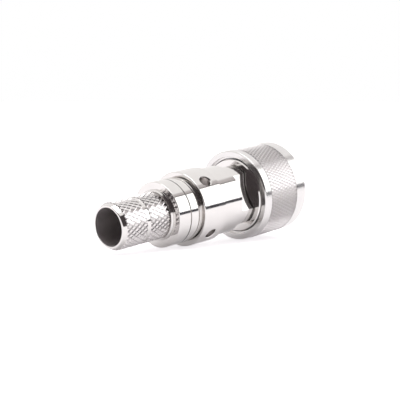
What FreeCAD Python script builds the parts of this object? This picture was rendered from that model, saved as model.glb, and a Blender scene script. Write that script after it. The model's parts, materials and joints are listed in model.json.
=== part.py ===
import FreeCAD, Part
import math
import os
import Sketcher
from FreeCAD import Placement, Rotation, Vector

# UHF coaxial plug with a knurled crimp stem, lying on its side as it comes to rest.
#
# Every piece is drawn on the plug's own axis: its local Z runs from the mouth of the crimp stem
# (station 0) towards the mating end, and its local X points down once the plug lies on its side.
# The plug then rests on the rear corner of the barrel and the rear corner of the coupling nut.
# Radii are built up from the bore outwards and stations from the mouth forwards, so a size that
# changes takes its neighbours along. Millimetres.

doc = FreeCAD.newDocument("uhf_plug")

# Driving sizes: each is set by itself, and everything below is worked out from them.
SIZES = {
    # crimp stem
    "stem_bore": 3.67,
    "tube_wall": 0.71,
    "lip_edge": 0.25,
    "knurl_start": 1.6,
    "rear_knurl_length": 4.1,
    "knurl_gap": 0.8,
    "front_knurl_length": 4.5,
    "stem_knurl_rise": 0.2,
    "stem_knurl_depth": 0.32,
    "stem_knurl_starts": 24,
    "stem_knurl_rows": 5,
    "neck_length": 0.55,
    "neck_depth": 0.25,
    "hub_rise": 0.57,
    "hub_length": 0.6,
    "hub_edge": 0.2,
    "spigot_wall": 1.83,
    "spigot_length": 8.6,
    "seat_rise": 0.4,
    "seat_length": 0.45,
    "flange_rise": 0.51,
    "flange_length": 5.1,
    "flange_groove_back": 1.95,
    "flange_groove_width": 0.16,
    "flange_groove_depth": 0.1,
    # plug body
    "solder_gap": 0.02,
    "bead_wall": 0.68,
    "bead_length": 0.35,
    "barrel_rise": 1.15,
    "barrel_edge": 0.18,
    "barrel_length": 5.9,
    "step_edge": 0.15,
    "hole_radius": 1.15,
    "hole_place": 2.95,
    "hole_count": 4,
    "hole_turn": 43.2,
    "waist_step": 0.54,
    "waist_length": 9.05,
    "cavity_step": 0.9,
    "flat_wall": 1.2,
    "flat_lead": 2.5,
    "flat_count": 4,
    "flat_turn": 75.2,
    "land_rise": 0.44,
    "land_edge": 0.2,
    "land_length": 4.8,
    "ring_groove_place": 0.95,
    "ring_groove_depth": 0.75,
    "tooth_count": 4,
    "tooth_edge": 0.05,
    "tooth_wall": 0.35,
    "tooth_height": 0.9,
    "tooth_width": 1.5,
    "tooth_crest": 0.6,
    "shoulder_width": 1.28,
    "sleeve_wall": 0.92,
    "sleeve_length": 7.6,
    "sleeve_edge": 0.3,
    # coupling nut
    "nut_gap": 0.15,
    "nut_wall": 1.05,
    "nut_rear_edge": 0.6,
    "nut_rear_bevel": 0.75,
    "nut_front_edge": 0.3,
    "nut_length": 12.0,
    "nut_knurl_back": 1.83,
    "nut_knurl_length": 7.4,
    "nut_knurl_depth": 0.24,
    "nut_knurl_starts": 56,
    "nut_knurl_rows": 8,
    "nut_lip": 1.5,
    "thread_gap": 0.2,
    "thread_depth": 0.6,
    "thread_lead": 0.55,
    "relief_place": 3.6,
    "relief_length": 1.9,
    # retaining ring
    "ring_width": 0.9,
    "ring_bite": 0.65,
    "ring_wall": 1.25,
    "ring_opening": 34,
    "ring_play": 0.05,
    "ring_seat_play": 0.1,
    "nut_travel": 1.0,
    # bush and pin
    "bush_length": 8.6,
    "bush_recess": 0.4,
    "bush_play": 0.02,
    "pin_size": 1.98,
    "pin_wall": 0.58,
    "pin_shank_rise": 0.22,
    "pin_collar_rise": 0.9,
    "pin_reach": 6.5,
    "pin_edge": 0.35,
    "pin_collar_length": 1.2,
    "pin_tail": 4.5,
}

sizes = doc.addObject("Spreadsheet::Sheet", "sizes")
for row, (alias, number) in enumerate(SIZES.items(), start=1):
    sizes.set("A%d" % row, alias.replace("_", " "))
    sizes.set("B%d" % row, str(number))
    sizes.setAlias("B%d" % row, alias)
doc.recompute()

# Radii from the bore outwards, each a wall or a step away from the one that it is cut beside.
RADII = {
    "tube": "sizes.stem_bore + sizes.tube_wall",
    "stem_knurl": "radii.tube + sizes.stem_knurl_rise",
    "stem_knurl_bed": "radii.stem_knurl - 1.5 * sizes.stem_knurl_depth",
    "neck": "radii.tube - sizes.neck_depth",
    "hub": "radii.tube + sizes.hub_rise",
    "spigot": "sizes.stem_bore + sizes.spigot_wall",
    "seat": "radii.spigot + sizes.seat_rise",
    "flange": "radii.seat + sizes.flange_rise",
    "socket": "radii.spigot + sizes.solder_gap",
    "bead": "radii.socket + sizes.bead_wall",
    "barrel": "radii.bead + sizes.barrel_rise",
    "waist": "radii.barrel - sizes.waist_step",
    "cavity": "radii.spigot - sizes.cavity_step",
    "flat": "radii.cavity + sizes.flat_wall",
    "land": "radii.waist + sizes.land_rise",
    "ring_groove": "radii.land - sizes.ring_groove_depth",
    "tooth_outside": "radii.land - sizes.tooth_edge",
    "tooth_inside": "radii.tooth_outside - sizes.tooth_wall",
    "sleeve": "radii.land - sizes.shoulder_width",
    "bush": "radii.sleeve - sizes.sleeve_wall",
    "nut_bore": "radii.land + sizes.nut_gap",
    "ring": "radii.nut_bore + sizes.ring_bite",
    "nut_groove": "radii.ring + sizes.ring_seat_play",
    "nut": "radii.nut_groove + sizes.nut_wall",
    "nut_knurl_bed": "radii.nut - 1.5 * sizes.nut_knurl_depth",
    "thread": "radii.land + sizes.thread_gap",
    "relief": "radii.thread + sizes.thread_depth",
    "pin_bore": "sizes.pin_size - sizes.pin_wall",
    "pin_shank": "sizes.pin_size + sizes.pin_shank_rise",
    "pin_collar": "radii.pin_shank + sizes.pin_collar_rise",
}

# Stations along the axis, each tied to the piece it belongs to.
STATIONS = {
    "gap_start": "sizes.knurl_start + sizes.rear_knurl_length",
    "gap_end": "stations.gap_start + sizes.knurl_gap",
    "knurl_end": "stations.gap_end + sizes.front_knurl_length",
    "hub_start": "stations.knurl_end + sizes.neck_length",
    "flange_start": "stations.hub_start + sizes.hub_length",
    "flange_end": "stations.flange_start + sizes.flange_length",
    "flange_groove": "stations.flange_end - sizes.flange_groove_back",
    "body_start": "stations.flange_end + sizes.seat_length",
    "barrel_start": "stations.body_start + sizes.bead_length",
    "barrel_end": "stations.barrel_start + sizes.barrel_length",
    "hole_station": "stations.barrel_start + sizes.hole_place",
    "spigot_end": "stations.body_start + sizes.spigot_length",
    "land_start": "stations.barrel_end + sizes.waist_length",
    "cone_start": "stations.land_start - radii.land + radii.flat",
    "flat_start": "stations.cone_start - sizes.flat_lead",
    "land_end": "stations.land_start + sizes.land_length",
    "ring_groove_start": "stations.land_start + sizes.ring_groove_place",
    "ring_room": "sizes.ring_width + 2 * sizes.ring_play",
    "ring_groove_end": "stations.ring_groove_start + sizes.nut_travel + stations.ring_room",
    "ring_front": "stations.ring_groove_end - sizes.ring_play",
    "ring_rear": "stations.ring_front - sizes.ring_width",
    "sleeve_end": "stations.land_end + sizes.sleeve_length",
    "nut_groove_start": "stations.ring_rear - sizes.ring_play",
    "nut_groove_end": "stations.ring_front + sizes.ring_play",
    "nut_start": "stations.nut_groove_start - sizes.nut_lip",
    "nut_end": "stations.nut_start + sizes.nut_length",
    "nut_knurl_start": "stations.nut_start + sizes.nut_knurl_back",
    "nut_knurl_end": "stations.nut_knurl_start + sizes.nut_knurl_length",
    "relief_start": "stations.nut_start + sizes.relief_place",
    "thread_start": "stations.relief_start + sizes.relief_length",
    "bush_front": "stations.sleeve_end - sizes.bush_recess",
    "bush_rear": "stations.bush_front - sizes.bush_length",
    "collar_rear": "stations.bush_rear - sizes.pin_collar_length",
    "pin_rear": "stations.collar_rear - sizes.pin_tail",
    "pin_front": "stations.bush_front + sizes.pin_reach",
}

# How the plug lies: the line that touches the barrel's and the nut's rear corners is the floor.
LIE = {
    "barrel_corner": "stations.barrel_start + sizes.barrel_edge",
    "nut_corner": "stations.nut_start + sizes.nut_rear_bevel",
    "tilt": "atan((radii.nut - radii.barrel) / (lie.nut_corner - lie.barrel_corner))",
    "up": "radii.barrel * cos(lie.tilt) - lie.barrel_corner * sin(lie.tilt)",
    "rearmost": "-(radii.tube - sizes.lip_edge) * sin(lie.tilt)",
    "foremost": "stations.pin_front * cos(lie.tilt) + (sizes.pin_size - sizes.pin_edge) * sin(lie.tilt)",
}

radii = doc.addObject("App::VarSet", "radii")
stations = doc.addObject("App::VarSet", "stations")
lie = doc.addObject("App::VarSet", "lie")
for holder, rules in ((radii, RADII), (stations, STATIONS), (lie, LIE)):
    for name, rule in rules.items():
        holder.addProperty("App::PropertyAngle" if name == "tilt" else "App::PropertyFloat", name)
        holder.setExpression(name, rule)
doc.recompute()


def size(alias):
    """The number in a cell of the sheet."""
    return float(sizes.get(alias))


def origin_feature(body, role):
    """One of a body's own planes or axes."""
    for feature in body.Origin.OriginFeatures:
        if feature.Role == role:
            return feature


def closed_sketch(body, name, plane, corners):
    """A closed outline of straight lines on one of the body's planes.

    Each corner is a pair of rules, across and along. A rule of "0" puts the corner on that axis.
    """
    sketch = body.newObject("Sketcher::SketchObject", name)
    sketch.AttachmentSupport = [(origin_feature(body, plane), "")]
    sketch.MapMode = "FlatFace"
    count = len(corners)
    turns = [2 * math.pi * i / count for i in range(count)]
    rough = [Vector(30 + 10 * math.cos(turn), 30 + 10 * math.sin(turn), 0) for turn in turns]
    for i in range(count):
        sketch.addGeometry(Part.LineSegment(rough[i], rough[(i + 1) % count]), False)
    for i in range(count):
        sketch.addConstraint(Sketcher.Constraint("Coincident", i, 2, (i + 1) % count, 1))
    for i, (across, along) in enumerate(corners):
        sides = (("DistanceX", across, rough[i].x, -2), ("DistanceY", along, rough[i].y, -1))
        for kind, rule, place, axis in sides:
            if rule == "0":
                sketch.addConstraint(Sketcher.Constraint("PointOnObject", i, 1, axis))
            else:
                number = sketch.addConstraint(Sketcher.Constraint(kind, -1, 1, i, 1, place))
                sketch.setExpression("Constraints[%d]" % number, rule)
    return sketch


def turned(body, name, corners):
    """Material added by turning an outline of (radius, station) corners about the plug's axis."""
    sketch = closed_sketch(body, name + "_outline", "XZ_Plane", corners)
    feature = body.newObject("PartDesign::Revolution", name)
    feature.Profile = sketch
    feature.ReferenceAxis = (sketch, ["V_Axis"])
    feature.Angle = 360
    sketch.Visibility = False
    doc.recompute()
    return feature


def repeated(body, name, feature, count):
    """The feature repeated evenly round the plug's axis."""
    pattern = body.newObject("PartDesign::PolarPattern", name)
    pattern.Originals = [feature]
    pattern.Axis = (origin_feature(body, "Z_Axis"), [""])
    pattern.Angle = 360
    pattern.setExpression("Occurrences", count)
    body.Tip = pattern
    doc.recompute()
    return pattern


def knurl_sleeve(name, peak, depth, starts, rows, first, last):
    """A sleeve with a diamond knurl: two hands of V grooves leave rows of four-sided pyramids.

    Corners lie on a grid of half pitches, where valley crossings and peaks alternate. The first and
    last row are all valley. The sleeve reaches inwards by a second depth, past the bed that it
    covers, and its plain ends reach on by an eighth, into the metal beside the band.
    """
    root = peak - depth
    across = 2 * starts
    hollow = root - depth
    tuck = depth / 8

    def point(radius, column, station):
        angle = 2 * math.pi * column / across
        return Vector(radius * math.cos(angle), radius * math.sin(angle), station)

    def corner(row, column):
        high = 0 < row < rows and (row + column) % 2 == 1
        return point(peak if high else root, column, first + (last - first) * row / rows)

    def ring(radius, station):
        return [point(radius, column, station) for column in range(across)]

    grid = [[corner(row, column) for column in range(across)] for row in range(rows + 1)]
    faces = []
    for row in range(rows):
        for column in range(across):
            after = (column + 1) % across
            near, far = grid[row], grid[row + 1]
            if (row + column) % 2 == 0:
                halves = ((near[column], near[after], far[after]), (near[column], far[after], far[column]))
            else:
                halves = ((near[column], near[after], far[column]), (near[after], far[after], far[column]))
            for half in halves:
                faces.append(Part.Face(Part.makePolygon(list(half) + [half[0]])))
    loops = [grid[-1], ring(root, last + tuck), ring(hollow, last + tuck),
             ring(hollow, first - tuck), ring(root, first - tuck), grid[0]]
    for near, far in zip(loops, loops[1:]):
        for column in range(across):
            after = (column + 1) % across
            quad = [near[column], near[after], far[after], far[column], near[column]]
            faces.append(Part.Face(Part.makePolygon(quad)))
    shell = Part.Shell(faces)
    shell.sewShape()
    solid = Part.Solid(shell)
    if solid.Volume < 0:
        solid.reverse()
    feature = doc.addObject("Part::Feature", name)
    feature.Shape = solid
    return feature


def laid(kind, name):
    """A new piece, placed with the rest of the plug as it lies."""
    piece = doc.addObject(kind, name)
    piece.Label = name
    piece.Placement = Placement(Vector(0, 0, 0), Rotation(Vector(0, 1, 0), 90))
    piece.setExpression(".Placement.Rotation.Angle", "90 deg - lie.tilt")
    piece.setExpression(".Placement.Base.x", "-(lie.rearmost + lie.foremost) / 2")
    piece.setExpression(".Placement.Base.z", "lie.up")
    return piece


def crimp_stem():
    """Knurled tube, hub, flange and spigot, turned from one bar."""
    core = doc.addObject("PartDesign::Body", "stem_core")
    turned(core, "stem_turning", [
        ("sizes.stem_bore", "0"),
        ("radii.tube - sizes.lip_edge", "0"),
        ("radii.tube", "sizes.lip_edge"),
        ("radii.tube", "sizes.knurl_start"),
        ("radii.stem_knurl_bed", "sizes.knurl_start"),
        ("radii.stem_knurl_bed", "stations.gap_start"),
        ("radii.tube", "stations.gap_start"),
        ("radii.tube", "stations.gap_end"),
        ("radii.stem_knurl_bed", "stations.gap_end"),
        ("radii.stem_knurl_bed", "stations.knurl_end"),
        ("radii.neck", "stations.knurl_end"),
        ("radii.neck", "stations.hub_start"),
        ("radii.hub - sizes.hub_edge", "stations.hub_start"),
        ("radii.hub", "stations.hub_start + sizes.hub_edge"),
        ("radii.hub", "stations.flange_start"),
        ("radii.flange", "stations.flange_start"),
        ("radii.flange", "stations.flange_groove - sizes.flange_groove_width / 2"),
        ("radii.flange - sizes.flange_groove_depth", "stations.flange_groove"),
        ("radii.flange", "stations.flange_groove + sizes.flange_groove_width / 2"),
        ("radii.flange", "stations.flange_end"),
        ("radii.seat", "stations.flange_end"),
        ("radii.seat", "stations.body_start"),
        ("radii.spigot", "stations.body_start"),
        ("radii.spigot", "stations.spigot_end"),
        ("sizes.stem_bore", "stations.spigot_end"),
    ])
    pattern = (size("stem_knurl_depth"), int(size("stem_knurl_starts")), int(size("stem_knurl_rows")))
    rear = knurl_sleeve("rear_knurl", radii.stem_knurl, *pattern, size("knurl_start"), stations.gap_start)
    front = knurl_sleeve("front_knurl", radii.stem_knurl, *pattern, stations.gap_end, stations.knurl_end)
    stem = laid("Part::MultiFuse", "crimp_stem")
    stem.Shapes = [core, rear, front]
    doc.recompute()
    return stem


def plug_body():
    """Bead, barrel with solder holes, waist with wrench flats, nut land, teeth and mating sleeve."""
    body = laid("PartDesign::Body", "plug_body")
    turned(body, "body_turning", [
        ("radii.socket", "stations.body_start"),
        ("radii.bead", "stations.body_start"),
        ("radii.bead", "stations.barrel_start"),
        ("radii.barrel - sizes.barrel_edge", "stations.barrel_start"),
        ("radii.barrel", "lie.barrel_corner"),
        ("radii.barrel", "stations.barrel_end - sizes.step_edge"),
        ("radii.barrel - sizes.step_edge", "stations.barrel_end"),
        ("radii.waist", "stations.barrel_end"),
        ("radii.waist", "stations.land_start"),
        ("radii.land", "stations.land_start"),
        ("radii.land", "stations.ring_groove_start"),
        ("radii.ring_groove", "stations.ring_groove_start"),
        ("radii.ring_groove", "stations.ring_groove_end"),
        ("radii.land", "stations.ring_groove_end"),
        ("radii.land", "stations.land_end - sizes.land_edge"),
        ("radii.land - sizes.land_edge", "stations.land_end"),
        ("radii.sleeve", "stations.land_end"),
        ("radii.sleeve", "stations.sleeve_end - sizes.sleeve_edge"),
        ("radii.sleeve - sizes.sleeve_edge", "stations.sleeve_end"),
        ("radii.bush", "stations.sleeve_end"),
        ("radii.bush", "stations.bush_rear"),
        ("radii.cavity", "stations.bush_rear"),
        ("radii.cavity", "stations.spigot_end"),
        ("radii.socket", "stations.spigot_end"),
    ])

    flat_sketch = closed_sketch(body, "flat_outline", "XZ_Plane", [
        ("radii.flat", "stations.flat_start"),
        ("radii.barrel", "stations.flat_start"),
        ("radii.barrel", "stations.land_start"),
        ("radii.flat", "stations.land_start"),
    ])
    flat_sketch.AttachmentOffset = Placement(Vector(0, 0, 0), Rotation(Vector(0, 1, 0), 1))
    flat_sketch.setExpression(".AttachmentOffset.Rotation.Angle", "sizes.flat_turn")
    flat = body.newObject("PartDesign::Pocket", "flat")
    flat.Profile = flat_sketch
    flat.Midplane = True
    flat.setExpression("Length", "2 * radii.barrel")
    flat_sketch.Visibility = False
    doc.recompute()
    repeated(body, "flats", flat, "sizes.flat_count")

    turned(body, "shoulder_cone", [
        ("radii.flat - sizes.step_edge", "stations.cone_start"),
        ("radii.flat", "stations.cone_start"),
        ("radii.land", "stations.land_start"),
        ("radii.flat - sizes.step_edge", "stations.land_start"),
    ])

    hole_sketch = closed_sketch(body, "solder_hole_outline", "XZ_Plane", [
        ("radii.spigot", "0"),
        ("radii.spigot", "sizes.hole_radius"),
        ("radii.barrel + sizes.step_edge", "sizes.hole_radius"),
        ("radii.barrel + sizes.step_edge", "0"),
    ])
    hole_sketch.AttachmentOffset = Placement(Vector(0, 20, 0), Rotation(Vector(0, 1, 0), 1))
    hole_sketch.setExpression(".AttachmentOffset.Base.y", "stations.hole_station")
    hole_sketch.setExpression(".AttachmentOffset.Rotation.Angle", "sizes.hole_turn")
    hole = body.newObject("PartDesign::Groove", "solder_hole")
    hole.Profile = hole_sketch
    hole.ReferenceAxis = (hole_sketch, ["H_Axis"])
    hole.Angle = 360
    hole_sketch.Visibility = False
    doc.recompute()
    repeated(body, "solder_holes", hole, "sizes.hole_count")

    tooth_sketch = closed_sketch(body, "tooth_outline", "YZ_Plane", [
        ("radii.tooth_outside - sizes.tooth_width / 2", "stations.land_end - sizes.land_edge"),
        ("radii.tooth_outside + sizes.tooth_width / 2", "stations.land_end - sizes.land_edge"),
        ("radii.tooth_outside + sizes.tooth_crest / 2", "stations.land_end + sizes.tooth_height"),
        ("radii.tooth_outside - sizes.tooth_crest / 2", "stations.land_end + sizes.tooth_height"),
    ])
    tooth_sketch.AttachmentOffset = Placement(Vector(-7, 0, 6), Rotation())
    tooth_sketch.setExpression(".AttachmentOffset.Base.x", "-radii.tooth_outside")
    tooth_sketch.setExpression(".AttachmentOffset.Base.z", "radii.tooth_inside")
    tooth = body.newObject("PartDesign::Pad", "tooth")
    tooth.Profile = tooth_sketch
    tooth.setExpression("Length", "sizes.tooth_wall")
    tooth_sketch.Visibility = False
    doc.recompute()
    repeated(body, "teeth", tooth, "sizes.tooth_count")
    return body


def coupling_nut():
    """Knurled nut: rear lip, groove for the ring, relief, and the bore its thread is cut in."""
    core = doc.addObject("PartDesign::Body", "nut_core")
    turned(core, "nut_turning", [
        ("radii.nut_bore", "stations.nut_start"),
        ("radii.nut - sizes.nut_rear_edge", "stations.nut_start"),
        ("radii.nut", "lie.nut_corner"),
        ("radii.nut", "stations.nut_knurl_start"),
        ("radii.nut_knurl_bed", "stations.nut_knurl_start"),
        ("radii.nut_knurl_bed", "stations.nut_knurl_end"),
        ("radii.nut", "stations.nut_knurl_end"),
        ("radii.nut", "stations.nut_end - sizes.nut_front_edge"),
        ("radii.nut - sizes.nut_front_edge", "stations.nut_end"),
        ("radii.thread + sizes.thread_lead", "stations.nut_end"),
        ("radii.thread", "stations.nut_end - sizes.thread_lead"),
        ("radii.thread", "stations.thread_start"),
        ("radii.relief", "stations.thread_start"),
        ("radii.relief", "stations.relief_start"),
        ("radii.nut_bore", "stations.relief_start"),
        ("radii.nut_bore", "stations.nut_groove_end"),
        ("radii.nut_groove", "stations.nut_groove_end"),
        ("radii.nut_groove", "stations.nut_groove_start"),
        ("radii.nut_bore", "stations.nut_groove_start"),
    ])
    knurl = knurl_sleeve("nut_knurl", radii.nut, size("nut_knurl_depth"), int(size("nut_knurl_starts")),
                         int(size("nut_knurl_rows")), stations.nut_knurl_start, stations.nut_knurl_end)
    nut = laid("Part::MultiFuse", "coupling_nut")
    nut.Shapes = [core, knurl]
    doc.recompute()
    return nut


def retaining_ring():
    """Split spring ring, which turns with the nut and keeps it on the body."""
    body = laid("PartDesign::Body", "retaining_ring")
    turned(body, "ring_turning", [
        ("radii.ring - sizes.ring_wall", "stations.ring_rear"),
        ("radii.ring", "stations.ring_rear"),
        ("radii.ring", "stations.ring_front"),
        ("radii.ring - sizes.ring_wall", "stations.ring_front"),
    ])
    sketch = closed_sketch(body, "opening_outline", "XY_Plane", [
        ("0", "0"),
        ("2 * radii.ring", "2 * radii.ring * tan(sizes.ring_opening * 1 deg / 2)"),
        ("2 * radii.ring", "0"),
    ])
    sketch.AttachmentOffset = Placement(Vector(0, 0, 30), Rotation())
    sketch.setExpression(".AttachmentOffset.Base.z", "stations.ring_rear - sizes.ring_play")
    opening = body.newObject("PartDesign::Pocket", "opening")
    opening.Profile = sketch
    opening.Reversed = True
    opening.setExpression("Length", "stations.ring_room")
    sketch.Visibility = False
    doc.recompute()
    return body


def front_insulator():
    """Turned bush that holds the pin in the mating sleeve."""
    body = laid("PartDesign::Body", "front_insulator")
    turned(body, "bush_turning", [
        ("radii.pin_shank + sizes.bush_play", "stations.bush_rear"),
        ("radii.bush - sizes.bush_play", "stations.bush_rear"),
        ("radii.bush - sizes.bush_play", "stations.bush_front"),
        ("radii.pin_shank + sizes.bush_play", "stations.bush_front"),
    ])
    return body


def contact_pin():
    """Hollow pin with a collar behind the bush."""
    body = laid("PartDesign::Body", "contact_pin")
    turned(body, "pin_turning", [
        ("radii.pin_bore", "stations.pin_rear"),
        ("radii.pin_shank", "stations.pin_rear"),
        ("radii.pin_shank", "stations.collar_rear"),
        ("radii.pin_collar", "stations.collar_rear"),
        ("radii.pin_collar", "stations.bush_rear"),
        ("radii.pin_shank", "stations.bush_rear"),
        ("radii.pin_shank", "stations.bush_front"),
        ("sizes.pin_size", "stations.bush_front"),
        ("sizes.pin_size", "stations.pin_front - sizes.pin_edge"),
        ("sizes.pin_size - sizes.pin_edge", "stations.pin_front"),
        ("radii.pin_bore", "stations.pin_front"),
    ])
    return body


pieces = [crimp_stem(), plug_body(), coupling_nut(), retaining_ring(), front_insulator(), contact_pin()]
doc.recompute()

for item in doc.Objects:
    if "Invalid" in item.State or "Error" in item.State:
        raise RuntimeError("%s is %s" % (item.Label, item.State))
for piece in pieces:
    shape = piece.Shape
    if shape.isNull() or not shape.isValid() or len(shape.Solids) != 1:
        raise RuntimeError("%s has no single valid solid" % piece.Label)

os.makedirs("parts", exist_ok=True)
for piece in pieces:
    piece.Shape.exportStep("parts/%s.step" % piece.Label)
    box = piece.Shape.BoundBox
    print("%-16s volume %8.2f  x %6.2f %6.2f  y %6.2f %6.2f  z %6.2f %6.2f" % (
        piece.Label, piece.Shape.Volume, box.XMin, box.XMax, box.YMin, box.YMax, box.ZMin, box.ZMax))
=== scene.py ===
# UHF coaxial plug, turned from brass and nickel plated, lying on its side.
# Lengths inside a section are millimetres along or away from the plug's own axis, which runs from
# the mouth of the crimp stem (station 0) to the tip of the pin. Each piece is then laid in the frame.

import json
import math
import bmesh
import bpy
from mathutils import Matrix, Vector


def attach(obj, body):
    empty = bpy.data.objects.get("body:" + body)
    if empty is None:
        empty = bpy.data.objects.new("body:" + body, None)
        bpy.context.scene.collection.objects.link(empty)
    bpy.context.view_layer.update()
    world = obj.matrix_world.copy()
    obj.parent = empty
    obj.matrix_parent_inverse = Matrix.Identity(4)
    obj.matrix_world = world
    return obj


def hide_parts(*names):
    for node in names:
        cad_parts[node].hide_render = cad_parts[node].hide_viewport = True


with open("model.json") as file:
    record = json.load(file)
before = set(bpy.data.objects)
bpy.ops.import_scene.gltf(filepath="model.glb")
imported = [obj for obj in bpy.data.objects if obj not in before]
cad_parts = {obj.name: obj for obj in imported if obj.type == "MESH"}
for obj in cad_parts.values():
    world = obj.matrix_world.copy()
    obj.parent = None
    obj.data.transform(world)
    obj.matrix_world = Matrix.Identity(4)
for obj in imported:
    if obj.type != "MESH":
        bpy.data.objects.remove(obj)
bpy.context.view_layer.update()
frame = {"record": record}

# Crimp stem: one turned brass piece that the cable is crimped to. Its tube has two diamond-knurled
# bands that bite into the braid, then a narrow hub and a flange, and its spigot is soldered into
# the plug body. Bright nickel plate.

MM = 0.001
bore = next(mount for mount in frame["record"]["mounts"] if mount["name"] == "cable_bore")
rearward = Vector(bore["axis"]).normalized()
mouth = Vector(bore["pos_m"]) + rearward * bore["dims"]["length_mm"] / 2 * MM
forward = -rearward
across = Vector((0, 1, 0))
down = across.cross(forward)
plug_axes = Matrix((down, across, forward)).transposed().to_4x4()
lie = Matrix.Translation(mouth) @ plug_axes @ Matrix.Scale(MM, 4)

stem_bore = 3.67
tube_radius = 4.38
lip_round = 0.12
lip_taper = 0.28
rear_knurl = (0.95, 5.75)
front_knurl = (6.8, 11.25)
stem_knurl_peak = 4.58
stem_knurl_depth = 0.12
stem_knurl_starts = 31
stem_knurl_pitch = 0.73
neck_radius = 4.13
hub_radius = 4.95
hub_bevel = 0.25
hub_start = 11.55
flange_radius = 6.41
flange_start = 12.15
flange_groove = (15.1, 15.33)
flange_groove_radius = 6.0
flange_end = 17.25
seat_radius = 5.9
body_start = 17.7
spigot_radius = 5.5
spigot_end = 26.3
small_edge = 0.12
sink = 0.1
near_enough = 0.01


def turned(outline, steps=240):
    """Spins a closed outline of (radius, station, rounding) corners about the plug's axis.

    A guard line close to each corner keeps the smooth shading of its edge off the straight faces.
    """
    guard = 0.03
    bm = bmesh.new()
    corners = [bm.verts.new((radius, 0, station)) for radius, station, rounding in outline]
    for here, there in zip(corners, corners[1:] + corners[:1]):
        bm.edges.new((here, there))
    for corner, (radius, station, rounding) in zip(corners, outline):
        if rounding:
            bmesh.ops.bevel(bm, geom=[corner], offset=rounding, segments=4, profile=0.5,
                            affect="VERTICES", material=-1)
    for edge in bm.edges[:]:
        length = edge.calc_length()
        if length > 10 * guard:
            near, far = edge.verts
            added = bmesh.utils.edge_split(edge, near, guard / length)[1]
            rest = next(part for part in added.link_edges if far in part.verts)
            bmesh.utils.edge_split(rest, far, guard / (length - guard))
    bmesh.ops.spin(bm, geom=bm.verts[:] + bm.edges[:], cent=(0, 0, 0), axis=(0, 0, 1),
                   angle=2 * math.pi, steps=steps, use_merge=True)
    bmesh.ops.recalc_face_normals(bm, faces=bm.faces)
    return bm


def knurled(bm, peak, depth, starts, half_pitch, first, last, seat, crest=0.6):
    """Adds a band of blunt diamonds, which two hands of V grooves leave between them.

    One diamond is repeated round the axis and row by row. The band is cut off square at both ends,
    where its walls run down to the seat, inside the turned metal.
    """
    end_slope = 0.6
    weld = 0.001
    band = bmesh.new()
    half_turn = math.pi / starts
    rings = []
    for share, radius in ((1, peak - depth), (crest, peak)):
        rings.append([band.verts.new((radius * math.cos(turn * share * half_turn),
                                      radius * math.sin(turn * share * half_turn), up * share * half_pitch))
                      for up, turn in ((-1, 0), (0, 1), (1, 0), (0, -1))])
    band.faces.new(rings[-1])
    # The flank faces take the second material, which is matt and carries a painted shade.
    for ring, inner in zip(rings, rings[1:]):
        for side in range(4):
            after = (side + 1) % 4
            band.faces.new((ring[side], ring[after], inner[after], inner[side])).material_index = 1
    bmesh.ops.spin(band, geom=band.faces[:], cent=(0, 0, 0), axis=(0, 0, 1), steps=starts - 1,
                   angle=2 * math.pi * (starts - 1) / starts, use_duplicate=True)
    row = band.verts[:] + band.edges[:] + band.faces[:]
    for number in range(math.floor(first / half_pitch), math.ceil(last / half_pitch) + 1):
        copy = bmesh.ops.duplicate(band, geom=row)["geom"]
        raised = [item for item in copy if isinstance(item, bmesh.types.BMVert)]
        bmesh.ops.rotate(band, verts=raised, cent=(0, 0, 0),
                         matrix=Matrix.Rotation(number % 2 * half_turn, 3, "Z"))
        bmesh.ops.translate(band, verts=raised, vec=(0, 0, number * half_pitch))
    pattern = [item for item in row if isinstance(item, bmesh.types.BMVert)]
    bmesh.ops.delete(band, geom=pattern, context="VERTS")
    bmesh.ops.remove_doubles(band, verts=band.verts, dist=weld)
    for station, facing in ((first, -1), (last, 1)):
        bmesh.ops.bisect_plane(band, geom=band.verts[:] + band.edges[:] + band.faces[:], dist=1e-6,
                               plane_co=(0, 0, station), plane_no=(0, 0, facing), clear_outer=True)
    rims = [edge for edge in band.edges if edge.is_boundary]
    for vertex in bmesh.ops.extrude_edge_only(band, edges=rims)["geom"]:
        if isinstance(vertex, bmesh.types.BMVert):
            outward = 1 if vertex.co.z > (first + last) / 2 else -1
            vertex.co.z += end_slope * outward * (vertex.co.xy.length - seat)
            vertex.co.xy *= seat / vertex.co.xy.length
    bmesh.ops.recalc_face_normals(band, faces=band.faces)
    joined(bm, band)


def joined(bm, extra):
    """Adds another mesh's faces to the mesh. They already reach a little into it."""
    mesh = bpy.data.meshes.new("extra")
    extra.to_mesh(mesh)
    extra.free()
    bm.from_mesh(mesh)
    bpy.data.meshes.remove(mesh)


def linear(code):
    """An sRGB hex colour as the linear colour that a socket takes."""
    values = [int(code[i:i + 2], 16) / 255 for i in (1, 3, 5)]
    return [v / 12.92 if v <= 0.04045 else ((v + 0.055) / 1.055) ** 2.4 for v in values] + [1]


def add_node(tree, kind, settings=None, inputs=None):
    """Adds a node with its settings, and its sockets set to values or linked from other sockets."""
    made = tree.nodes.new("ShaderNode" + kind)
    for name, value in (settings or {}).items():
        setattr(made, name, value)
    for name, value in (inputs or {}).items():
        if isinstance(value, bpy.types.NodeSocket):
            tree.links.new(value, made.inputs[name])
        else:
            made.inputs[name].default_value = value
    return made


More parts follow.
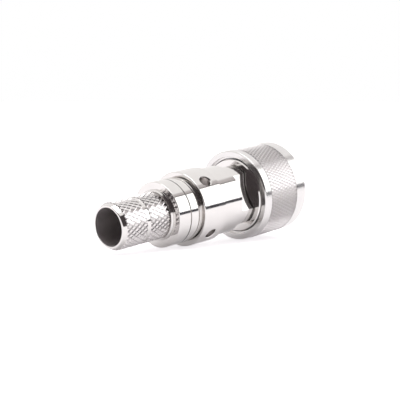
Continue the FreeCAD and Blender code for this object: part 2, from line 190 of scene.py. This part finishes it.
# Bright nickel is a warm grey mirror. The lathe leaves fine rings round the axis, closer than
# the picture can show, so they are drawn four to the millimetre, and handling leaves faint clouds
# about 4 mm across. Round the axis a ring hardly changes: once in some 17 mm.
round_axis = 60
nickel = bpy.data.materials.new("bright_nickel_plate")
nickel.use_nodes = True
tree = nickel.node_tree
shader = tree.nodes["Principled BSDF"]
shader.inputs["Metallic"].default_value = 1
place = add_node(tree, "TexCoord")
along = add_node(tree, "Mapping", {"vector_type": "TEXTURE"},
                 {"Vector": place.outputs["Object"], "Location": mouth, "Rotation": plug_axes.to_euler()})
rings = add_node(tree, "Mapping", None,
                 {"Vector": along.outputs["Vector"], "Scale": (round_axis, round_axis, 4 / MM)})
marks = add_node(tree, "TexNoise", None, {"Vector": rings.outputs["Vector"], "Scale": 1, "Detail": 2})
clouds = add_node(tree, "TexNoise", None,
                  {"Vector": along.outputs["Vector"], "Scale": 0.25 / MM, "Detail": 3})
gloss = add_node(tree, "MapRange", None, {"Value": clouds.outputs["Fac"], "To Min": 0.06, "To Max": 0.13})
tint = add_node(tree, "Mix", {"data_type": "RGBA"},
                {"Factor": clouds.outputs["Fac"], 6: linear("#DAD7D5"), 7: linear("#E3E1DF")})
turning = add_node(tree, "Bump", None,
                   {"Height": marks.outputs["Fac"], "Strength": 0.15, "Distance": 0.01 * MM})
tree.links.new(tint.outputs[2], shader.inputs["Base Color"])
tree.links.new(gloss.outputs["Result"], shader.inputs["Roughness"])
tree.links.new(turning.outputs["Normal"], shader.inputs["Normal"])


def finished(bm, name, body, node, slot, *materials):
    """Lays a mesh in the frame as a piece of the plug, smooth but for its corners."""
    sharp = math.radians(30)
    bm.transform(lie)
    for face in bm.faces:
        face.smooth = True
    for edge in bm.edges:
        edge.smooth = edge.calc_face_angle(0) < sharp
    mesh = bpy.data.meshes.new(name)
    bm.to_mesh(mesh)
    bm.free()
    for material in materials:
        mesh.materials.append(material)
    piece = bpy.data.objects.new(name, mesh)
    bpy.context.collection.objects.link(piece)
    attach(piece, body)
    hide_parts(node)


stem = turned([
    (stem_bore, 0, 0.08),
    (tube_radius - lip_taper, 0, lip_round),
    (tube_radius, rear_knurl[0], 0),
    (tube_radius, front_knurl[1], 0),
    (neck_radius, front_knurl[1], 0),
    (neck_radius, hub_start, 0.05),
    (hub_radius - hub_bevel, hub_start, 0),
    (hub_radius, hub_start + hub_bevel, 0),
    (hub_radius, flange_start, 0.03),
    (flange_radius, flange_start, small_edge),
    (flange_radius, flange_groove[0], 0.03),
    (flange_groove_radius, flange_groove[0], 0),
    (flange_groove_radius, flange_groove[1], 0),
    (flange_radius, flange_groove[1], 0.03),
    (flange_radius, flange_end, small_edge),
    (seat_radius, flange_end, 0),
    (seat_radius, body_start, 0),
    (spigot_radius, body_start, 0),
    (spigot_radius, spigot_end, 0.2),
    (stem_bore, spigot_end, 0.1),
])
for first, last in (rear_knurl, front_knurl):
    knurled(stem, stem_knurl_peak, stem_knurl_depth, stem_knurl_starts, stem_knurl_pitch, first, last,
            tube_radius - sink)

# The bore is drilled, and the spigot was heated in soldering, so their plate is dull. The drill's
# rings are drawn three to the millimetre.
drilled = bpy.data.materials.new("drilled_nickel_plate")
drilled.use_nodes = True
tree = drilled.node_tree
shader = tree.nodes["Principled BSDF"]
shader.inputs["Metallic"].default_value = 1
shader.inputs["Roughness"].default_value = 0.5
shader.inputs["Base Color"].default_value = linear("#D6D1D1")
place = add_node(tree, "TexCoord")
along = add_node(tree, "Mapping", {"vector_type": "TEXTURE"},
                 {"Vector": place.outputs["Object"], "Location": mouth, "Rotation": plug_axes.to_euler()})
rings = add_node(tree, "Mapping", None,
                 {"Vector": along.outputs["Vector"], "Scale": (round_axis, round_axis, 3 / MM)})
marks = add_node(tree, "TexNoise", None, {"Vector": rings.outputs["Vector"], "Scale": 1, "Detail": 2})
scored = add_node(tree, "Bump", None,
                  {"Height": marks.outputs["Fac"], "Strength": 0.3, "Distance": 0.02 * MM})
tree.links.new(scored.outputs["Normal"], shader.inputs["Normal"])

# The knurl is rolled, which leaves the flanks of its grooves matt, with a grain of a fifth of a
# millimetre, between the stem's bright tops. The flanks are also a little darker in colour than the
# bright plate, a painted shade in the grooves. The nut's finer knurl takes this matt, darker plate on
# its tops as well, so the painted shade lies over its whole knurl.
rolled_and_shaded = bpy.data.materials.new("rolled_nickel_plate_shaded")
rolled_and_shaded.use_nodes = True
tree = rolled_and_shaded.node_tree
shader = tree.nodes["Principled BSDF"]
shader.inputs["Metallic"].default_value = 1
place = add_node(tree, "TexCoord")
grain = add_node(tree, "TexNoise", None, {"Vector": place.outputs["Object"], "Scale": 5 / MM, "Detail": 2})
gloss = add_node(tree, "MapRange", None, {"Value": grain.outputs["Fac"], "To Min": 0.24, "To Max": 0.36})
# Painted shade: this base colour is a little darker than the bright plate's, standing in for shade in the
# knurl.
tint = add_node(tree, "Mix", {"data_type": "RGBA"},
                {"Factor": grain.outputs["Fac"], 6: linear("#CECACA"), 7: linear("#DCD9D9")})
tree.links.new(gloss.outputs["Result"], shader.inputs["Roughness"])
tree.links.new(tint.outputs[2], shader.inputs["Base Color"])

for face in stem.faces:
    middle = face.calc_center_median()
    if middle.xy.length < stem_bore + near_enough or middle.z > body_start + near_enough:
        face.material_index = 2
finished(stem, "crimp_stem_plated", "plug", "crimp_stem", "nickel_plated_brass", nickel, rolled_and_shaded, drilled)

# Plug body: one turned brass piece with a bead against the flange, a barrel with four solder holes,
# a waist with four wrench flats that end at a square step, the land that the nut turns on, four
# teeth that catch the socket, and the mating sleeve. Bright nickel plate.

bead_radius = 6.2
barrel_radius = 7.35
barrel_start = 18.05
barrel_end = 23.95
barrel_bevel = 0.2
hole_radius = 1.15
hole_sink = 0.22
hole_station = 21.0
hole_count = 4
hole_turn = 43.2
hole_overrun = 1
waist_radius = 6.81
flat_distance = 5.8
flat_start = 29.05
flat_end_gap = 0.001
flat_count = 4
flat_turn = 75.2
land_radius = 7.25
land_start = 33.35
rear_land_radius = 7.42
rear_land_bevel = 0.2
ring_groove = (33.95, 35.95)
ring_groove_radius = 6.5
land_end = 37.8
tooth_base = 1.5
tooth_crest = 0.6
tooth_height = 0.9
tooth_inside = 6.85
tooth_outside = 7.2
tooth_count = 4
sleeve_radius = 5.97
sleeve_end = 45.4
bush_radius = 5.05
bush_rear = 36.4
cavity_radius = 4.6
fit_gap = 0.02


def cut_away(bm, cutters):
    """Takes the cutters' shapes out of the mesh."""
    collection = bpy.context.scene.collection
    blank = bpy.data.objects.new("blank", bpy.data.meshes.new("blank"))
    tool = bpy.data.objects.new("tool", bpy.data.meshes.new("tool"))
    bm.to_mesh(blank.data)
    cutters.to_mesh(tool.data)
    collection.objects.link(blank)
    collection.objects.link(tool)
    cut = blank.modifiers.new("cut", "BOOLEAN")
    cut.operation = "DIFFERENCE"
    cut.solver = "EXACT"
    cut.object = tool
    bpy.context.view_layer.update()
    result = blank.evaluated_get(bpy.context.evaluated_depsgraph_get()).to_mesh()
    bm.clear()
    bm.from_mesh(result)
    cutters.free()
    bpy.data.objects.remove(blank)
    bpy.data.objects.remove(tool)


body = turned([
    (spigot_radius + fit_gap, body_start, 0),
    (bead_radius, body_start, 0.12),
    (bead_radius, barrel_start, 0),
    (barrel_radius, barrel_start, 0.18),
    (barrel_radius, barrel_end - barrel_bevel, 0),
    (barrel_radius - barrel_bevel, barrel_end, 0),
    (waist_radius, barrel_end, 0.05),
    (waist_radius, land_start, 0),
    (rear_land_radius - rear_land_bevel, land_start, 0),
    (rear_land_radius, land_start + rear_land_bevel, 0),
    (rear_land_radius, ring_groove[0], 0.05),
    (ring_groove_radius, ring_groove[0], 0),
    (ring_groove_radius, ring_groove[1], 0),
    (land_radius, ring_groove[1], 0.05),
    (land_radius, land_end, 0.2),
    (sleeve_radius, land_end, 0.1),
    (sleeve_radius, sleeve_end, 0.3),
    (bush_radius, sleeve_end, 0.1),
    (bush_radius, bush_rear, 0),
    (cavity_radius, bush_rear, 0),
    (cavity_radius, spigot_end, 0),
    (spigot_radius + fit_gap, spigot_end, 0),
])

flats = bmesh.new()
width = 2 * barrel_radius
for number in range(flat_count):
    spin = Matrix.Rotation(math.radians(flat_turn + 360 / flat_count * number), 4, "Z")
    centre = Matrix.Translation((flat_distance + width / 2, 0, (flat_start + land_start) / 2))
    block = Matrix.Diagonal((width, width, land_start - flat_start - flat_end_gap, 1))
    bmesh.ops.create_cube(flats, size=1, matrix=spin @ centre @ block)
cut_away(body, flats)

radial = Matrix.Rotation(math.pi / 2, 4, "Y")
holes = bmesh.new()
sinks = bmesh.new()
for number in range(hole_count):
    spin = Matrix.Rotation(math.radians(hole_turn + 360 / hole_count * number), 4, "Z")
    middle = Matrix.Translation(((cavity_radius + barrel_radius) / 2, 0, hole_station))
    bmesh.ops.create_cone(holes, cap_ends=True, segments=64, radius1=hole_radius, radius2=hole_radius,
                          depth=barrel_radius - cavity_radius + 2 * hole_overrun,
                          matrix=spin @ middle @ radial)
    rim = Matrix.Translation((barrel_radius, 0, hole_station))
    bmesh.ops.create_cone(sinks, cap_ends=True, segments=64, radius1=hole_radius,
                          radius2=hole_radius + 2 * hole_sink, depth=2 * hole_sink,
                          matrix=spin @ rim @ radial)
cut_away(body, holes)
cut_away(body, sinks)

teeth = bmesh.new()
for number in range(tooth_count):
    spin = Matrix.Rotation(2 * math.pi / tooth_count * number, 4, "Z")
    centre = Matrix.Translation(((tooth_inside + tooth_outside) / 2, 0, land_end + tooth_height / 2 - sink))
    block = Matrix.Diagonal((tooth_outside - tooth_inside, tooth_base, tooth_height + 2 * sink, 1))
    corners = bmesh.ops.create_cube(teeth, size=1)["verts"]
    for corner in corners:
        if corner.co.z > 0:
            corner.co.y *= tooth_crest / tooth_base
    bmesh.ops.transform(teeth, matrix=spin @ centre @ block, verts=corners)
joined(body, teeth)
finished(body, "plug_body_plated", "plug", "plug_body", "nickel_plated_brass", nickel)

# Coupling nut: turned brass with a fine diamond knurl between two plain rims, threaded 5/8-24
# inside its open end, and held on the body by the ring. Its nickel plate is less bright.

nut_radius = 9.2
nut_start = 33.3
nut_end = 45.45
nut_bore = 7.4
nut_mouth = (7.9, 34.0)
nut_lip = 7.55
nut_rim_radius = 9.11
nut_bevel = 0.22
nut_knurl = (35.28, 42.68)
nut_knurl_depth = 0.17
nut_knurl_starts = 80
nut_knurl_pitch = 0.673
nut_knurl_bed = 0.02
nut_floor = nut_radius - nut_knurl_depth - nut_knurl_bed
nut_recess = 0.17
nut_groove = (34.95, 35.95)
nut_groove_radius = 8.15
relief = (37.05, 38.95)
relief_radius = 8.05
thread_minor = 7.45
thread_major = 7.95
thread_pitch = 1.058
thread_crest = 0.13
thread_root = 0.02
thread_setback = 0.6
mouth_flare = (0.05, 0.5)

# The nut's plate is a little softer than the body's, with closer rings from the lathe, six to the
# millimetre.
satin = bpy.data.materials.new("satin_nickel_plate")
satin.use_nodes = True
tree = satin.node_tree
shader = tree.nodes["Principled BSDF"]
shader.inputs["Metallic"].default_value = 1
place = add_node(tree, "TexCoord")
along = add_node(tree, "Mapping", {"vector_type": "TEXTURE"},
                 {"Vector": place.outputs["Object"], "Location": mouth, "Rotation": plug_axes.to_euler()})
rings = add_node(tree, "Mapping", None,
                 {"Vector": along.outputs["Vector"], "Scale": (round_axis, round_axis, 6 / MM)})
marks = add_node(tree, "TexNoise", None, {"Vector": rings.outputs["Vector"], "Scale": 1, "Detail": 2})
gloss = add_node(tree, "MapRange", None, {"Value": marks.outputs["Fac"], "To Min": 0.14, "To Max": 0.23})
tint = add_node(tree, "Mix", {"data_type": "RGBA"},
                {"Factor": marks.outputs["Fac"], 6: linear("#D6D4D3"), 7: linear("#E1DFDE")})
turning = add_node(tree, "Bump", None,
                   {"Height": marks.outputs["Fac"], "Strength": 0.1, "Distance": 0.01 * MM})
tree.links.new(tint.outputs[2], shader.inputs["Base Color"])
tree.links.new(gloss.outputs["Result"], shader.inputs["Roughness"])
tree.links.new(turning.outputs["Normal"], shader.inputs["Normal"])

nut = turned([
    (nut_mouth[0], nut_start, 0.06),
    (nut_rim_radius - nut_bevel, nut_start, 0),
    (nut_rim_radius, nut_start + nut_bevel, 0.04),
    (nut_rim_radius, nut_knurl[0] - nut_recess, 0.03),
    (nut_floor, nut_knurl[0] - nut_recess, 0),
    (nut_floor, nut_knurl[1], 0),
    (nut_radius, nut_knurl[1], 0),
    (nut_radius, nut_end, 0.3),
    (thread_major + mouth_flare[0], nut_end, 0.1),
    (thread_major, nut_end - mouth_flare[1], 0),
    (thread_major, relief[1], 0),
    (relief_radius, relief[1], 0),
    (relief_radius, relief[0], 0),
    (nut_bore, relief[0], 0.05),
    (nut_bore, nut_groove[1], 0),
    (nut_groove_radius, nut_groove[1], 0),
    (nut_groove_radius, nut_groove[0], 0),
    (nut_lip, nut_groove[0], 0),
    (nut_lip, nut_mouth[1], 0.05),
    (nut_mouth[0], nut_mouth[1], 0),
])
knurled(nut, nut_radius, nut_knurl_depth, nut_knurl_starts, nut_knurl_pitch, *nut_knurl, nut_floor - sink,
        crest=0.45)

# The thread is one helical ridge, swept round the bore and rising by its pitch each turn.
turns = (nut_end - thread_setback - relief[1] - thread_pitch) / thread_pitch
steps = 96
ridge = bmesh.new()
flank = (thread_pitch - thread_crest) / 2
profile = [ridge.verts.new((radius, 0, relief[1] + station)) for radius, station in (
    (thread_major + thread_root, thread_root), (thread_minor, flank), (thread_minor, flank + thread_crest),
    (thread_major + thread_root, thread_pitch - thread_root))]
tooth = ridge.faces.new(profile)
bmesh.ops.spin(ridge, geom=[tooth] + tooth.edges[:] + profile, cent=(0, 0, 0), axis=(0, 0, 1),
               dvec=(0, 0, thread_pitch / steps), angle=2 * math.pi * turns, steps=round(steps * turns))
bmesh.ops.recalc_face_normals(ridge, faces=ridge.faces)
joined(nut, ridge)

for face in nut.faces:
    middle = face.calc_center_median()
    if nut_knurl[0] < middle.z < nut_knurl[1] and middle.xy.length > nut_floor + near_enough:
        face.material_index = 1
finished(nut, "coupling_nut_plated", "nut", "coupling_nut", "nickel_plated_brass", satin, rolled_and_shaded)

# Retaining ring: a split ring of spring steel in the groove of the land, which also reaches into the
# groove of the nut and keeps it on. Bare bright steel, with fine lines from drawing the wire, eight
# to the millimetre.

ring_inside = 6.8
ring_outside = 8.05
ring_rear = 35.0
ring_front = 35.9
ring_opening = 34

steel = bpy.data.materials.new("bright_spring_steel")
steel.use_nodes = True
tree = steel.node_tree
shader = tree.nodes["Principled BSDF"]
shader.inputs["Metallic"].default_value = 1
place = add_node(tree, "TexCoord")
along = add_node(tree, "Mapping", {"vector_type": "TEXTURE"},
                 {"Vector": place.outputs["Object"], "Location": mouth, "Rotation": plug_axes.to_euler()})
drawn = add_node(tree, "Mapping", None,
                 {"Vector": along.outputs["Vector"], "Scale": (round_axis, round_axis, 8 / MM)})
marks = add_node(tree, "TexNoise", None, {"Vector": drawn.outputs["Vector"], "Scale": 1, "Detail": 2})
gloss = add_node(tree, "MapRange", None, {"Value": marks.outputs["Fac"], "To Min": 0.22, "To Max": 0.34})
tint = add_node(tree, "Mix", {"data_type": "RGBA"},
                {"Factor": marks.outputs["Fac"], 6: linear("#BEBFC1"), 7: linear("#CACBCD")})
tree.links.new(gloss.outputs["Result"], shader.inputs["Roughness"])
tree.links.new(tint.outputs[2], shader.inputs["Base Color"])

clip = bmesh.new()
section = [clip.verts.new((radius, 0, station)) for radius, station in (
    (ring_inside, ring_rear), (ring_outside, ring_rear),
    (ring_outside, ring_front), (ring_inside, ring_front))]
end = clip.faces.new(section)
bmesh.ops.rotate(clip, verts=section, cent=(0, 0, 0),
                 matrix=Matrix.Rotation(math.radians(ring_opening / 2), 3, "Z"))
bmesh.ops.spin(clip, geom=[end] + end.edges[:] + section, cent=(0, 0, 0), axis=(0, 0, 1),
               angle=math.radians(360 - ring_opening), steps=160)
bmesh.ops.recalc_face_normals(clip, faces=clip.faces)
finished(clip, "retaining_ring_steel", "ring", "retaining_ring", "spring_steel", steel)

# Front insulator: a turned bush of white PTFE pressed into the mating sleeve, waxy and a little
# translucent. The lathe's rings are drawn about four to the millimetre.

shank_radius = 2.2
bush_front = 45.0

ptfe = bpy.data.materials.new("turned_ptfe")
ptfe.use_nodes = True
tree = ptfe.node_tree
shader = tree.nodes["Principled BSDF"]
shader.inputs["Base Color"].default_value = linear("#F1F0EC")
shader.inputs["Roughness"].default_value = 0.42
shader.inputs["IOR"].default_value = 1.35
shader.inputs["Subsurface Weight"].default_value = 0.25
shader.inputs["Subsurface Radius"].default_value = (1, 1, 1)
shader.inputs["Subsurface Scale"].default_value = 0.6 * MM
place = add_node(tree, "TexCoord")
along = add_node(tree, "Mapping", {"vector_type": "TEXTURE"},
                 {"Vector": place.outputs["Object"], "Location": mouth, "Rotation": plug_axes.to_euler()})
rings = add_node(tree, "TexWave", {"wave_type": "RINGS", "rings_direction": "Z"},
                 {"Vector": along.outputs["Vector"], "Scale": 1.2 / MM, "Distortion": 0.4})
lathe = add_node(tree, "Bump", None,
                 {"Height": rings.outputs["Fac"], "Strength": 0.25, "Distance": 0.02 * MM})
tree.links.new(lathe.outputs["Normal"], shader.inputs["Normal"])

bush = turned([
    (shank_radius + fit_gap, bush_rear, 0),
    (bush_radius - fit_gap, bush_rear, 0.1),
    (bush_radius - fit_gap, bush_front, 0.15),
    (shank_radius + fit_gap, bush_front, 0.05),
])
finished(bush, "front_insulator_ptfe", "plug", "front_insulator", "white_ptfe", ptfe)

# Contact pin: a hollow brass pin, open at its tip for the solder, with a collar behind the bush.
# Silver plate, a little warmer and softer than the nickel, with haze in spots of 2.5 mm.

pin_radius = 1.98
pin_bore = 1.4
pin_rear = 30.7
collar_rear = 35.2
collar_radius = 3.1
pin_front = 51.5

silver = bpy.data.materials.new("silver_plate")
silver.use_nodes = True
tree = silver.node_tree
shader = tree.nodes["Principled BSDF"]
shader.inputs["Metallic"].default_value = 1
place = add_node(tree, "TexCoord")
haze = add_node(tree, "TexNoise", None, {"Vector": place.outputs["Object"], "Scale": 0.4 / MM, "Detail": 3})
gloss = add_node(tree, "MapRange", None, {"Value": haze.outputs["Fac"], "To Min": 0.14, "To Max": 0.26})
tint = add_node(tree, "Mix", {"data_type": "RGBA"},
                {"Factor": haze.outputs["Fac"], 6: linear("#E6DDCB"), 7: linear("#F2EEE4")})
tree.links.new(gloss.outputs["Result"], shader.inputs["Roughness"])
tree.links.new(tint.outputs[2], shader.inputs["Base Color"])

pin = turned([
    (pin_bore, pin_rear, 0.05),
    (shank_radius, pin_rear, 0.1),
    (shank_radius, collar_rear, 0),
    (collar_radius, collar_rear, 0.1),
    (collar_radius, bush_rear, 0.1),
    (shank_radius, bush_rear, 0),
    (shank_radius, bush_front, 0.05),
    (pin_radius, bush_front, 0),
    (pin_radius, pin_front, 0.4),
    (pin_bore, pin_front, 0.08),
], steps=128)
finished(pin, "contact_pin_silver", "plug", "contact_pin", "silver_plated_brass", silver)

# Floor and backdrop: a plain pale table that runs on behind the plug and keeps its shadow. It glows
# towards the camera, which keeps it white there, and more faintly in what the metal mirrors.

table = bpy.data.materials.new("pale_table")
table.use_nodes = True
tree = table.node_tree
shader = tree.nodes["Principled BSDF"]
shader.inputs["Base Color"].default_value = linear("#EFEDEF")
shader.inputs["Roughness"].default_value = 0.9
shader.inputs["Specular IOR Level"].default_value = 0.1
seen = add_node(tree, "LightPath")
shown = add_node(tree, "Math", {"operation": "MAXIMUM"},
                 {0: seen.outputs["Is Camera Ray"], 1: seen.outputs["Is Glossy Ray"]})
bright = add_node(tree, "MapRange", None,
                  {"Value": seen.outputs["Is Camera Ray"], "To Min": 0.23, "To Max": 0.66})
glow = add_node(tree, "Emission", None, {"Color": linear("#FEFCFE"), "Strength": bright.outputs["Result"]})
lit = add_node(tree, "AddShader", None, {0: shader.outputs["BSDF"], 1: glow.outputs["Emission"]})
either = add_node(tree, "MixShader", None,
                  {0: shown.outputs["Value"], 1: shader.outputs["BSDF"], 2: lit.outputs["Shader"]})
tree.links.new(either.outputs["Shader"], tree.nodes["Material Output"].inputs["Surface"])

table_reach = 2.5
floor_mesh = bpy.data.meshes.new("floor")
surface = bmesh.new()
bmesh.ops.create_grid(surface, x_segments=1, y_segments=1, size=table_reach)
surface.to_mesh(floor_mesh)
surface.free()
floor_mesh.materials.append(table)
floor = bpy.data.objects.new("floor", floor_mesh)
bpy.context.collection.objects.link(floor)

# Light: a white tent with a soft box in its frame on the right and another overhead. Bright metal
# mirrors all of it, so the dark edge of the table below the soft box is there as well, and the dark
# room round the camera. Each card is part of a sphere round the plug, given by its directions.


def card(name, turn, rise, code, strength, reach=0.8):
    """A glowing card that spans a range of directions round the plug, in degrees."""
    steps = 16
    centre = Vector((0, 0, 0.01))
    first, last = (math.radians(angle) for angle in turn)
    low, high = (math.radians(angle) for angle in rise)
    sheet = bmesh.new()
    edge = [sheet.verts.new((reach * math.cos(low), 0, reach * math.sin(low)))]
    bmesh.ops.spin(sheet, geom=edge, cent=(0, 0, 0), axis=(0, -1, 0), angle=high - low, steps=steps)
    bmesh.ops.rotate(sheet, verts=sheet.verts, cent=(0, 0, 0), matrix=Matrix.Rotation(first, 3, "Z"))
    bmesh.ops.spin(sheet, geom=sheet.verts[:] + sheet.edges[:], cent=(0, 0, 0), axis=(0, 0, 1),
                   angle=last - first, steps=2 * steps)
    bmesh.ops.translate(sheet, verts=sheet.verts, vec=centre)
    mesh = bpy.data.meshes.new(name)
    sheet.to_mesh(mesh)
    sheet.free()
    material = bpy.data.materials.new(name)
    material.use_nodes = True
    shader = material.node_tree.nodes["Principled BSDF"]
    shader.inputs["Base Color"].default_value = (0, 0, 0, 1)
    shader.inputs["Specular IOR Level"].default_value = 0
    shader.inputs["Emission Color"].default_value = linear(code)
    shader.inputs["Emission Strength"].default_value = strength
    mesh.materials.append(material)
    thing = bpy.data.objects.new(name, mesh)
    bpy.context.collection.objects.link(thing)
    thing.visible_camera = False


card("soft_box", (-62, -10), (5.2, 43.5), "#FFFFFF", 2.2)
card("soft_box_rim", (-62, -10), (43.5, 45.5), "#66605F", 1.0)
card("soft_box_frame", (-62, -10), (45.5, 50), "#CFC9C8", 1.0)
card("overhead_box", (-180, 180), (66, 89), "#FFFFFF", 3.6)
card("table_edge", (-82, -10), (-2.6, 5.4), "#45434A", 1.0, reach=0.36)
card("dark_room", (-205, -62), (-0.6, 50), "#4C4648", 1.0)

world = bpy.data.worlds.new("white_tent")
bpy.context.scene.world = world
world.use_nodes = True
tree = world.node_tree
tent = tree.nodes["Background"]
tent.inputs["Color"].default_value = linear("#FBF9F8")
tent.inputs["Strength"].default_value = 1.12
white = add_node(tree, "Background", None, {"Color": (1, 1, 1, 1), "Strength": 1.0})
seen = add_node(tree, "LightPath")
either = add_node(tree, "MixShader", None,
                  {0: seen.outputs["Is Camera Ray"], 1: tent.outputs["Background"],
                   2: white.outputs["Background"]})
tree.links.new(either.outputs["Shader"], tree.nodes["World Output"].inputs["Surface"])

# Camera: a little above the plug, off its cable end and to one side, with a long lens. It aims at
# the plug's middle.

view_azimuth = math.radians(-45.03)
view_elevation = math.radians(5.16)
aim_station = 23.95
aim_rise = 0.743
look = Vector((-math.sin(view_azimuth) * math.cos(view_elevation),
               math.cos(view_azimuth) * math.cos(view_elevation), -math.sin(view_elevation)))
right = look.cross(Vector((0, 0, 1))).normalized()
up = right.cross(look)
aim = mouth + forward * aim_station * MM + up * aim_rise * MM
distance = 236.7 * MM
camera_data = bpy.data.cameras.new("camera")
camera_data.lens = 108.1
camera_data.clip_start = 0.01
camera = bpy.data.objects.new("camera", camera_data)
bpy.context.collection.objects.link(camera)
turned_to = Matrix((right, up, -look)).transposed().to_4x4()
camera.matrix_world = Matrix.Translation(aim - look * distance) @ turned_to
bpy.context.scene.camera = camera

bpy.context.scene.view_settings.view_transform = "Standard"
